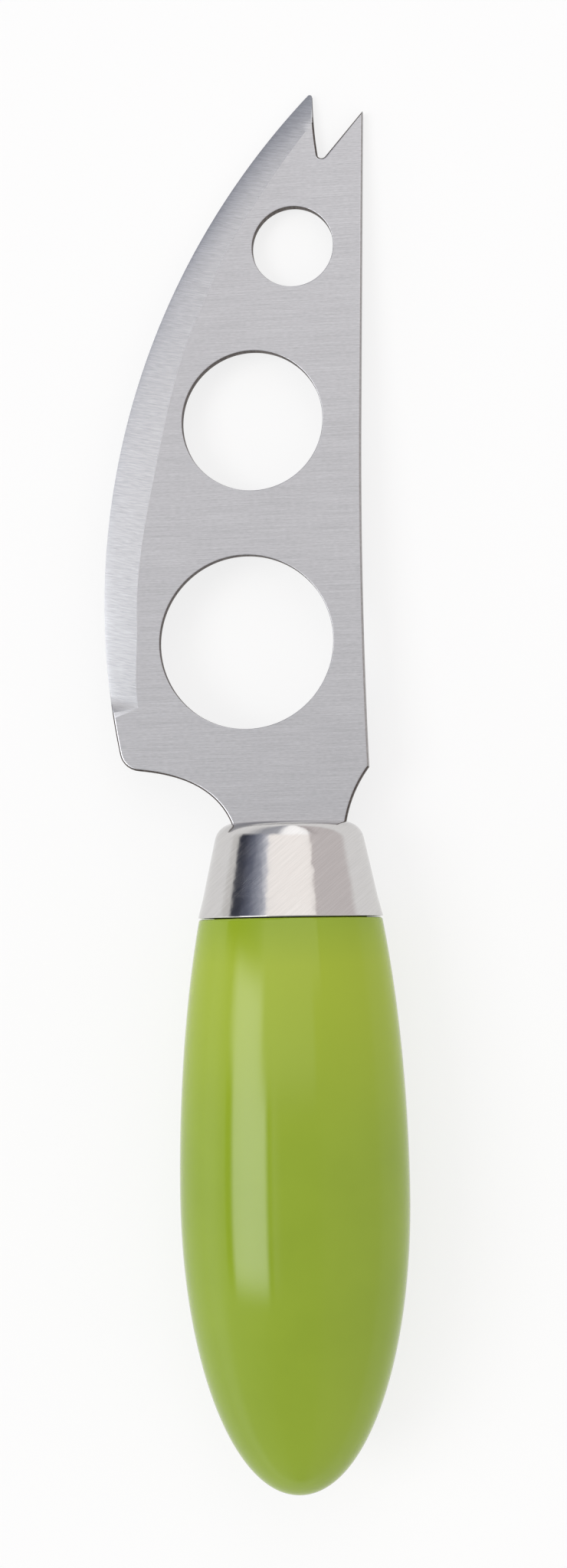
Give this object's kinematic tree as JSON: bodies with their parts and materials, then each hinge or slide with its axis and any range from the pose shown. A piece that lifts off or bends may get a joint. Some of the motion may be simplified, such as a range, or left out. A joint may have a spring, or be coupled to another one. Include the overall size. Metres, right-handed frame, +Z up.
{
  "type": "cheese knife",
  "caption": "Cheese knife with a swept, pierced stainless blade that ends in a serving fork, an oval metal ferrule and a glossy rounded grip",
  "frame": {"origin": "on the table, under the middle of the knife's box", "axes": "+Y runs along the knife to the fork, +X points to the spine's side and +Z is up off the table"},
  "size_m": [0.0448, 0.2098, 0.0276],
  "materials": {
    "blade_steel": "stainless sheet, brushed across the blade, with a ground cutting bevel",
    "ferrule_steel": "drawn stainless cap, polished, with fine rubbing marks",
    "core_plastic": "moulded plug, hidden inside the grip",
    "potting": "cured potting, hidden inside the core",
    "grip_plastic": "moulded lime-green plastic with a high gloss"
  },
  "bodies": {
    "root": {"blade": "blade_steel", "ferrule": "ferrule_steel", "tang_core": "core_plastic", "tang_adhesive": "potting", "handle_shell": "grip_plastic"}
  },
  "joints": []
}
